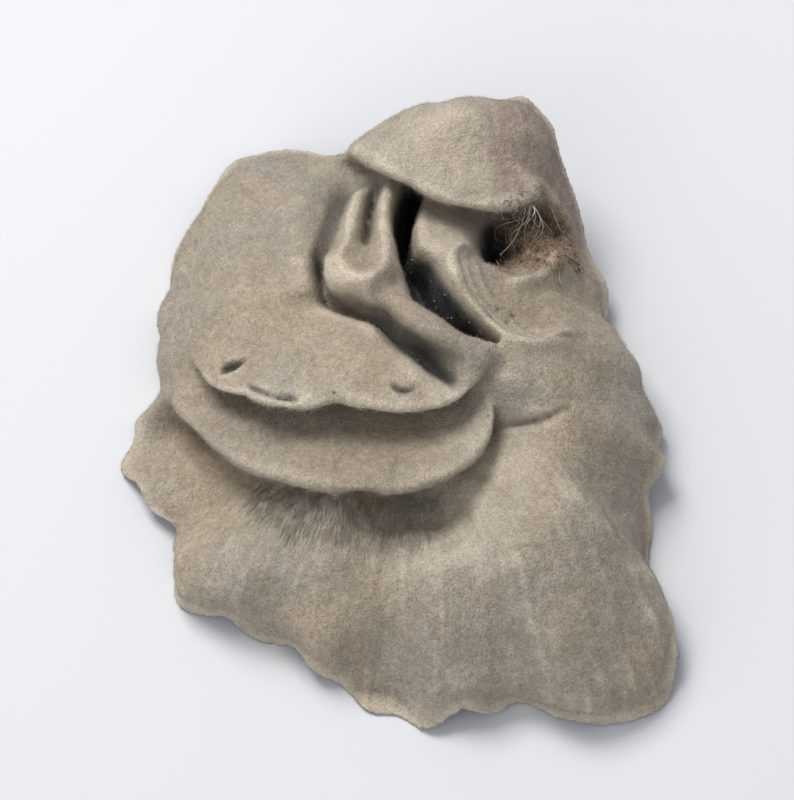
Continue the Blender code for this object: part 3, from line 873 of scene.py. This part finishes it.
def ear_finish(name):
    """Felt that the marks stain, rub and dirty, with painted highlight and shade, wood at the scar, and the
    lining where the mark is black.
    """
    ear = Finish(name)
    black, scar_share, hole_share, stain = ear.mark("kind")
    worn_and_lit_share, dirt_and_shade, shaded_groove, streak = ear.mark("wear_and_light")
    place = ear.place()
    large = ear.cloud(place, size=22, low=0.35, high=0.65)
    middling = ear.cloud(place, size=5, low=0.35, high=0.70)
    small = ear.cloud(place, size=1.3, low=0.30, high=0.75, detail=4)
    grain = ear.cloud(place, size=0.35, low=0.30, high=0.70, detail=2)
    specks = ear.cloud(place, size=0.55, low=0.735, high=0.78, detail=1)

    felt = ear.colour(large, FELT, FELT_GREY)
    felt = ear.colour(ear.times(middling, 0.50), felt, FELT_SHADE)
    felt = ear.colour(ear.times(streak, 0.26), felt, RUBBED_AND_HIGHLIGHT)
    # Dirt and painted shade darken the hollows, the roll under the lip and the ridge.
    felt = ear.colour(ear.times(ear.times(dirt_and_shade, small, "ADD"), 0.36), felt, DUSKY)
    felt = ear.colour(ear.times(stain, ear.spread(small, 0.0, 1.0, 0.45, 0.85)), felt, STAIN)
    # Crests paler with wear and a painted highlight, and shaded stretches lifted by painted light.
    felt = ear.colour(ear.times(worn_and_lit_share, ear.spread(middling, 0.0, 1.0, 0.9, 0.5)), felt, RUBBED_AND_HIGHLIGHT)
    felt = ear.colour(1.0, felt, ear.grey(ear.spread(grain, 0.0, 1.0, 0.86, 1.12)), "MULTIPLY")
    # Painted shade, near black, in the creases, slit, furrows, wrinkles, tears and holes.
    felt = ear.colour(ear.times(shaded_groove, 0.90), felt, CREASE_SHADE)
    felt = ear.colour(ear.times(specks, 0.6), felt, FLECK)

    wood_grain = ear.cloud(place, size=1.4, low=0.38, high=0.66)
    rusty = ear.cloud(ear.place((1.0, 1.3, 0.8)), size=0.9, low=0.57, high=0.67)
    wood = ear.colour(rusty, ear.colour(wood_grain, WOOD, PALE_WOOD), RUST)
    felt = ear.colour(ear.times(scar_share, ear.spread(small, 0.0, 1.0, 1.0, 0.6)), felt, wood)

    lining = ear.colour(ear.cloud(place, size=3.0, low=0.40, high=0.75), LINING, BLOOM)
    flecks = ear.cloud(ear.place((1.0, 0.35, 1.0)), size=0.30, low=0.70, high=0.80, detail=2)
    lining = ear.colour(ear.times(flecks, 0.5), lining, FLECK)
    # The lining is also painted over the felt in the slot, for its black face and deep shade, and in the pit
    # of the hole as its shade.
    black_share = ear.times(black, hole_share, "MAXIMUM")
    ear.join(ear.colour(black_share, felt, lining), ear.shader.inputs["Base Color"])

    ear.join(ear.spread(black_share, 0.0, 1.0, 0.92, 0.50), ear.shader.inputs["Roughness"])
    ear.shader.inputs["Sheen Weight"].default_value = 0.10
    ear.shader.inputs["Sheen Roughness"].default_value = 0.45
    ear.shader.inputs["Specular IOR Level"].default_value = 0.35
    wrinkles = ear.times(black, ear.cloud(ear.place((1.0, 0.6, 1.0)), size=2.4, low=0.30, high=0.70))
    height = ear.times(ear.times(small, ear.times(grain, 0.5), "ADD"), ear.times(wrinkles, 1.6), "ADD")
    ear.join(ear.bump(height, distance=0.16, strength=0.9), ear.shader.inputs["Normal"])
    return ear.material


def join_ear(piece, finish):
    """Gives a piece its finish, and makes it ride with the ear and stand for its plain solid."""
    piece.data.materials.clear()
    piece.data.materials.append(finish)
    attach(piece, "root")
    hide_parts("wood_ear")


felt_and_lining = ear_finish("felt_and_lining")
join_ear(skin, felt_and_lining)


# The nap: the felt's own hairs, half a millimetre long and finer than sewing thread. They grow out of the
# back all over and lie outwards, towards the margin, each in the colour of the felt at its root.

# The nap is made in pieces of so many hairs, with lengths between these two.
NAP_PIECES = 4
NAP_HAIRS = 45000
NAP_LENGTH = (0.35, 0.75)
NAP_WIDTH = 0.055
# How deep a hair's root stands in the sheet, and how near to the table any hair may come.
NAP_ROOT = 0.12
CLEAR_OF_TABLE = 0.06

# The way over the back to the margin: the square's own way out from its middle, laid on the sheet.
outwards = (np.gradient(middle_sheet, axis=1) * square_u[..., None]
            + np.gradient(middle_sheet, axis=0) * square_v[..., None])
outwards = unit(outwards - np.sum(outwards * out_of_back, axis=-1, keepdims=True) * out_of_back)


class Roots:
    """Where a number of hairs grow on the back: places, the way out of the sheet, and the way outwards."""

    def __init__(self, count, density, seed):
        """Spots drawn at random over the grid's cells, each cell as likely as its area times its density."""
        self.draw = np.random.default_rng(seed)
        right = np.diff(back_face, axis=1)[:-1]
        up = np.diff(back_face, axis=0)[:, :-1]
        likely = np.linalg.norm(np.cross(right, up), axis=-1) * density[:-1, :-1]
        cells = self.draw.choice(likely.size, count, p=(likely / likely.sum()).ravel())
        self.row, self.column = np.divmod(cells, LINES - 1)
        self.s, self.t = self.draw.random((2, count))
        self.out = unit(self.read(out_of_back))
        self.outwards = unit(self.read(outwards))
        self.place = self.read(back_face)

    def read(self, values):
        """Values of a grid at the spots, in proportion between the four corners of their cells."""
        shape = self.s.shape + (1,) * (values.ndim - 2)
        s = self.s.reshape(shape)
        t = self.t.reshape(shape)
        near = values[self.row, self.column] * (1 - s) + values[self.row, self.column + 1] * s
        far = values[self.row + 1, self.column] * (1 - s) + values[self.row + 1, self.column + 1] * s
        return near * (1 - t) + far * t

    def any_way(self):
        """A direction of its own for each hair, drawn at random."""
        return unit(self.draw.normal(size=self.out.shape))

    def between(self, low, high):
        """A number of its own for each hair, drawn evenly from low to high."""
        return self.draw.uniform(low, high, len(self.s))


def strand_mesh(name, lines, half_widths, kind, wear_and_light, pale_tip):
    """Three-sided hairs: three corners round each point of a middle line but its last, which is the tip.

    The corners stand off the line by the half width times (1 - share of the length)^0.6, a third of a
    turn apart. The worn mark, wear with painted highlight, rises along the hair by pale_tip.
    """
    count, points = lines.shape[:2]
    lines = np.concatenate([lines[..., :2], np.maximum(lines[..., 2:], CLEAR_OF_TABLE)], axis=-1)
    along = unit(np.gradient(lines, axis=1))
    aside = unit(np.cross(along, unit(np.array([0.31, 0.67, 0.53]))))
    up = np.cross(along, aside)
    taper = (1 - np.arange(points) / (points - 1)) ** 0.6
    turn = np.arange(3) * 2 * np.pi / 3
    ring = np.cos(turn)[:, None] * aside[:, :-1, None] + np.sin(turn)[:, None] * up[:, :-1, None]
    ring = lines[:, :-1, None] + ring * (half_widths[:, None] * taper[:-1])[..., None, None]
    corners = np.concatenate([ring.reshape(count, -1, 3), lines[:, -1:]], axis=1)

    first = np.arange(3 * (points - 2)).reshape(-1, 3)
    after = np.roll(first, -1, axis=1)
    lower = np.stack([first, after, after + 3], axis=-1)
    upper = np.stack([first, after + 3, first + 3], axis=-1)
    sides = np.concatenate([lower, upper])
    last = 3 * (points - 2) + np.arange(3)
    tip = np.stack([last, np.roll(last, -1), np.full(3, 3 * (points - 1))], axis=-1)
    faces = np.concatenate([[[0, 2, 1]], sides.reshape(-1, 3), tip])
    size = corners.shape[1]
    faces = (faces[None] + np.arange(count)[:, None, None] * size).reshape(-1, 3)

    kinds = np.repeat(kind, size, axis=0)
    wear_and_light_rows = np.repeat(wear_and_light, size, axis=0)
    reach = np.concatenate([np.repeat(np.arange(points - 1) / (points - 1), 3), [1.0]])
    wear_and_light_rows[:, 0] = np.clip(wear_and_light_rows[:, 0] + pale_tip * np.tile(reach, count), 0, 1)
    return mesh_of(name, corners.reshape(-1, 3), faces, {"kind": kinds, "wear_and_light": wear_and_light_rows})


def added(name, mesh, finish):
    """Makes a mesh a piece of the ear."""
    piece = bpy.data.objects.new(name, mesh)
    bpy.context.scene.collection.objects.link(piece)
    join_ear(piece, finish)


def grown(name, roots, lines, half_widths, pale_tip, finish):
    """Puts hairs on the ear, with the marks of the spots that they grow from."""
    kind = np.stack([roots.read(values) for values in (slot, scar, hole, stained)], axis=-1)
    wear_and_light = np.stack([roots.read(values) for values in (worn_and_lit, dirty_and_shaded, groove_shade, streaked)], axis=-1)
    added(name, strand_mesh(name, lines, half_widths, kind, wear_and_light, pale_tip), finish)


# The nap is bare in the slot and the hole, thin on the scar, and ends just before the margin. Each hair is
# straight and leans outwards and its own way, but always stands out of the sheet a little.
nap_density = (1 - slot) * (1 - hole) * (1 - 0.8 * scar) * (1 - ramp(to_margin, 0.965, 0.99))
for number in range(NAP_PIECES):
    roots = Roots(NAP_HAIRS, nap_density, 20 + number)
    way = unit(0.55 * roots.out + 0.55 * roots.outwards + 0.50 * roots.any_way())
    way = unit(way + np.maximum(0.25 - np.sum(way * roots.out, axis=-1), 0)[:, None] * roots.out)
    start = roots.place - NAP_ROOT * roots.out
    lines = np.stack([start, start + way * roots.between(*NAP_LENGTH)[:, None]], axis=1)
    half_widths = NAP_WIDTH / 2 * roots.between(0.7, 1.2)
    grown("nap_%d" % (number + 1), roots, lines, half_widths, pale_tip=0.45, finish=felt_and_lining)


# Longer hairs of the same felt, dry and pale, up to five millimetres long. They are combed down the fan
# from under the roll, make a torn fringe along the lip, and stand loose over the rest of the back.

def fibre_finish(name, dark, pale, size, rust=0.0):
    """Wood or dry tissue: dark and pale in grains of this size, and a share of rust-coloured grains."""
    fibre = Finish(name)
    place = fibre.place()
    grain = fibre.cloud(place, size, low=0.40, high=0.62)
    rusty = fibre.cloud(place, size=1.1, low=0.56, high=0.60)
    rough = fibre.cloud(place, size=0.4, low=0.2, high=0.8)
    colour = fibre.colour(fibre.times(rusty, rust), fibre.colour(grain, dark, pale), RUST)
    fibre.join(colour, fibre.shader.inputs["Base Color"])
    fibre.shader.inputs["Roughness"].default_value = 0.85
    fibre.join(fibre.bump(rough, distance=0.15, strength=0.8), fibre.shader.inputs["Normal"])
    return fibre.material


def swept(roots, length, rise, wave, points=6):
    """Middle lines of hairs that leave the sheet at a slant, bend over outwards and swing aside.

    At the share t of its length a hair has gone that far outwards, leaning a little aside. It has swung
    aside by t^2 times a bend of its own, and is lifted by its rise times sin(pi min(1.15 t, 1))^0.8.
    """
    t = np.linspace(0, 1, points)[None, :, None]
    aside = unit(np.cross(roots.out, roots.outwards))
    lean = roots.draw.normal(0, 0.22, len(length))[:, None, None]
    bend = roots.draw.normal(0, wave, (len(length), 1, 1))
    way = roots.outwards[:, None] + lean * aside[:, None]
    lift = rise[:, None, None] * np.sin(np.pi * np.minimum(t * 1.15, 1.0)) ** 0.8
    return (roots.place[:, None] - NAP_ROOT * roots.out[:, None] + length[:, None, None] * t * way
            + lift * roots.out[:, None] + bend * (length[:, None, None] * t**2) * aside[:, None])


pale_fibre = fibre_finish("pale_fibre", dark=(0.430, 0.375, 0.300), pale=(0.720, 0.670, 0.585), size=3.0)

# The shares of a short hair's length at its four points.
SHORT_HAIR = np.linspace(0, 1, 4)[None, :, None]
# Lines where the combed hairs and the fringe grow, and two edges with more loose hairs, each with its
# width, share and fade. The combed hairs stay clear of the roll's edge and thin out towards the right.
UNDER_ROLL = (((-29, -22), (-20, -25.5), (-10, -27.5), (1, -28), (10, -26)), 5.0, 1.0, 0.2)
TORN_LIP = (((-27.5, -3.4), (-22.5, -6.5), (-18, -8.2), (-12.5, -7.9)), 0.8, 1.0, 0.2)
HAIRY_EDGES = ((LIP, 0.9, 1.0, 0.05), (DOME_EDGE, 0.9, 1.0, 0.05))

combed_share = ramp(along_line(*UNDER_ROLL), 0.2, 0.8)
clear_of_roll = ramp(Path(flat_x, flat_y, ROLL, 0.1).away, 1.2, 2.6)
combed = Roots(2800, combed_share * clear_of_roll * (1 - 0.8 * ramp(flat_x, 2.0, 9.0)), seed=31)
length = combed.between(2.0, 5.2)
lines = swept(combed, length, rise=combed.between(0.12, 0.38), wave=0.10)
grown("combed_hairs", combed, lines, combed.between(0.030, 0.058), pale_tip=0.0, finish=pale_fibre)

fringe = Roots(420, ramp(along_line(*TORN_LIP), 0.2, 0.8), seed=33)
way = unit(0.8 * fringe.outwards + 0.35 * fringe.out + 0.5 * fringe.any_way())
length = fringe.between(0.7, 1.9)[:, None, None]
lines = (fringe.place[:, None]
         + length * (SHORT_HAIR * way[:, None] + 0.25 * SHORT_HAIR**2 * fringe.any_way()[:, None]))
grown("lip_fringe", fringe, lines, fringe.between(0.025, 0.05), pale_tip=0.0, finish=pale_fibre)

edges = sum(along_line(*edge) for edge in HAIRY_EDGES)
loose = Roots(2600, nap_density * (1 + 9 * edges), seed=32)
length = loose.between(0.9, 2.2)
lines = swept(loose, length, rise=loose.between(0.2, 0.6), wave=0.35)
grown("loose_hairs", loose, lines, loose.between(0.02, 0.035), pale_tip=0.6, finish=felt_and_lining)


# The scar, where the ear was cut off its log: a mat of coarse brown fibres of wood and dried flesh, which
# stand every way and are matted down, so that none rises far above the rest.

# A fibre runs its own way from its root, and bends away from that by the square of its length.
fibres = Roots(1500, ramp(scar, 0.1, 0.8) * (1 - hole), seed=41)
length = fibres.between(0.7, 2.4)[:, None, None]
way = unit(fibres.any_way() * [1.0, 1.2, 0.5] + 0.30 * fibres.out)
bend = unit(fibres.any_way())
lines = (fibres.place[:, None] - 0.2 * fibres.out[:, None] + length * SHORT_HAIR * way[:, None]
         + 0.25 * (length * SHORT_HAIR**2) * bend[:, None])
lines[..., 2] = np.minimum(lines[..., 2], fibres.place[:, None, 2] + 0.9)
wood_fibre = fibre_finish("wood_fibre", dark=(0.270, 0.185, 0.128), pale=(0.540, 0.415, 0.300),
                          size=2.0, rust=0.65)
grown("scar_fibres", fibres, lines, fibres.between(0.04, 0.10), pale_tip=0.1, finish=wood_fibre)


# Torn strands: the dome's flesh tore where it was pulled off the log. A few long strands hang from its
# edge over the hole, short ones curl along the edge, and others lie over the scar, all dry and pale. The
# edge itself is frayed into a brown fuzz.

def on_back(x, y):
    """The places on the back, and the way out of it, nearest to spots of the flat sheet."""
    flat = np.hypot(flat_x[::2, ::2].reshape(-1, 1) - x, flat_y[::2, ::2].reshape(-1, 1) - y)
    nearest = flat.argmin(axis=0)
    return back_face[::2, ::2].reshape(-1, 3)[nearest], out_of_back[::2, ::2].reshape(-1, 3)[nearest]


def torn_strands(starts, ends, bow, half_widths, seed):
    """A mesh of strands from start to end, raised by 4 t (1 - t) times the bow, and wavy between.

    The waves are sin(pi t), sin(2 pi t) and sin(3 pi t), each a random way off, shorter as they quicken.
    """
    draw = np.random.default_rng(seed)
    start, start_out = on_back(*starts)
    end, end_out = on_back(*ends)
    t = np.linspace(0, 1, 14)[None, :, None]
    start = start - 0.3 * start_out
    end = end - 0.3 * end_out
    span = np.linalg.norm(end - start, axis=-1)[:, None, None]
    waves = sum(draw.normal(0, 0.13 / turns, (len(bow), 1, 3)) * np.sin(turns * np.pi * t)
                for turns in (1, 2, 3))
    lines = start[:, None] * (1 - t) + end[:, None] * t + span * waves
    lines = lines + 4 * t * (1 - t) * bow[:, None, None] * unit(start_out + end_out)[:, None]
    no_marks = np.zeros((len(bow), 4))
    return strand_mesh("torn_strands", lines, half_widths, no_marks, no_marks, pale_tip=0.0)


# How many strands hang long from the edge, curl along it and lie over the scar.
LONG = 11
CURLED = 26
LYING = 30

draw = np.random.default_rng(51)
from_edge = np.stack([draw.normal(19.4, 1.2, LONG), draw.uniform(26.6, 28.2, LONG)])
to_scar = from_edge + np.stack([draw.normal(0.6, 1.7, LONG), draw.uniform(-11.0, -5.5, LONG)])
along_edge = np.stack([draw.uniform(13.5, 22, CURLED), draw.uniform(25.8, 28.2, CURLED)])
back_to_edge = along_edge + np.stack([draw.normal(0, 2.4, CURLED), draw.uniform(-3.5, 0.5, CURLED)])
over_scar = np.stack([draw.uniform(16.5, 27, LYING), draw.uniform(16.5, 25.5, LYING)])
across_scar = over_scar + draw.normal(0, 2.6, (2, LYING))
bows = np.concatenate([draw.uniform(0.2, 1.5, LONG), draw.uniform(0.4, 1.6, CURLED),
                       draw.uniform(0.3, 1.0, LYING)])
half_widths = np.concatenate([draw.uniform(0.06, 0.12, LONG), draw.uniform(0.04, 0.08, CURLED + LYING)])
starts = np.hstack([from_edge, along_edge, over_scar])
ends = np.hstack([to_scar, back_to_edge, across_scar])
added("torn_strands", torn_strands(starts, ends, bows, half_widths, seed=52), pale_fibre)

FRAYED = ((18.8, 27.4), (4.6, 2.0), 15)
frayed = Roots(900, ramp(sheet.nearness(*FRAYED), 0.2, 0.9), seed=53)
length = frayed.between(0.6, 2.0)[:, None, None]
way = unit(frayed.any_way() + 0.4 * frayed.out - 0.6 * frayed.outwards)
lines = frayed.place[:, None] + length * SHORT_HAIR * way[:, None] - 0.1 * frayed.out[:, None]
frayed_tissue = fibre_finish("frayed_tissue", dark=(0.215, 0.160, 0.128), pale=(0.520, 0.435, 0.355),
                             size=1.5)
grown("frayed_edge", frayed, lines, frayed.between(0.03, 0.07), pale_tip=0.3, finish=frayed_tissue)


# Crumbs: bark that came off with the ear and stuck in the scar, and a few pale crumbs of dust that
# settled in the slot, in the grooves and here and there on the felt. They lie loose, half sunk in the nap.

AROUND = 7
RINGS = 4


def crumbs(name, places, sizes, seed):
    """Crumbs of these sizes at these places: balls, each drawn out of round and turned in its own way.

    A ball is the two poles and, between them, rings of points at even angles: sin(height) cos(turn),
    sin(height) sin(turn) and cos(height). Each point is moved in or out at random.
    """
    draw = np.random.default_rng(seed)
    turn = np.linspace(0, 2 * np.pi, AROUND, endpoint=False)
    height = np.linspace(0, np.pi, RINGS + 2)[1:-1]
    rings = np.stack([np.outer(np.sin(height), np.cos(turn)), np.outer(np.sin(height), np.sin(turn)),
                      np.outer(np.cos(height), np.ones(AROUND))], axis=-1).reshape(-1, 3)
    ball = np.vstack([[0, 0, 1], rings, [0, 0, -1]])

    rows = 1 + np.arange(RINGS * AROUND).reshape(RINGS, AROUND)
    over = np.roll(rows, -1, axis=1)
    lower = np.stack([rows[:-1], rows[1:], over[1:]], axis=-1)
    upper = np.stack([rows[:-1], over[1:], over[:-1]], axis=-1)
    top = np.stack([np.zeros(AROUND, int), rows[0], over[0]], axis=-1)
    foot = np.stack([np.full(AROUND, len(ball) - 1), over[-1], rows[-1]], axis=-1)
    faces = np.concatenate([top, np.concatenate([lower, upper]).reshape(-1, 3), foot])

    turns, _ = np.linalg.qr(draw.normal(size=(len(places), 3, 3)))
    turns = turns * np.sign(np.linalg.det(turns))[:, None, None]
    uneven = 1 + 0.28 * draw.normal(size=(len(places), len(ball), 1)).clip(-1.5, 1.5)
    squash = draw.uniform(0.45, 1.0, (len(places), 1, 3))
    points = (ball * uneven * squash) @ turns * sizes[:, None, None] + places[:, None]
    faces = (faces[None] + np.arange(len(places))[:, None, None] * len(ball)).reshape(-1, 3)
    return mesh_of(name, points.reshape(-1, 3), faces, {})


def scattered(name, roots, sizes, seed, finish):
    """Crumbs that lie on the back at the roots' spots."""
    added(name, crumbs(name, roots.place + 0.4 * sizes[:, None] * roots.out, sizes, seed), finish)


at_scar = Roots(170, ramp(scar, 0.15, 0.9), seed=42)
bark = fibre_finish("bark", dark=WOOD, pale=PALE_WOOD, size=1.2, rust=0.8)
scattered("bark_crumbs", at_scar, at_scar.between(0.12, 0.5) ** 1.3, 43, bark)
settled = Roots(150, slot + 0.35 * groove_shade + 0.35 * scar + 0.035, seed=44)
scattered("dust_crumbs", settled, settled.between(0.06, 0.20), 45, pale_fibre)
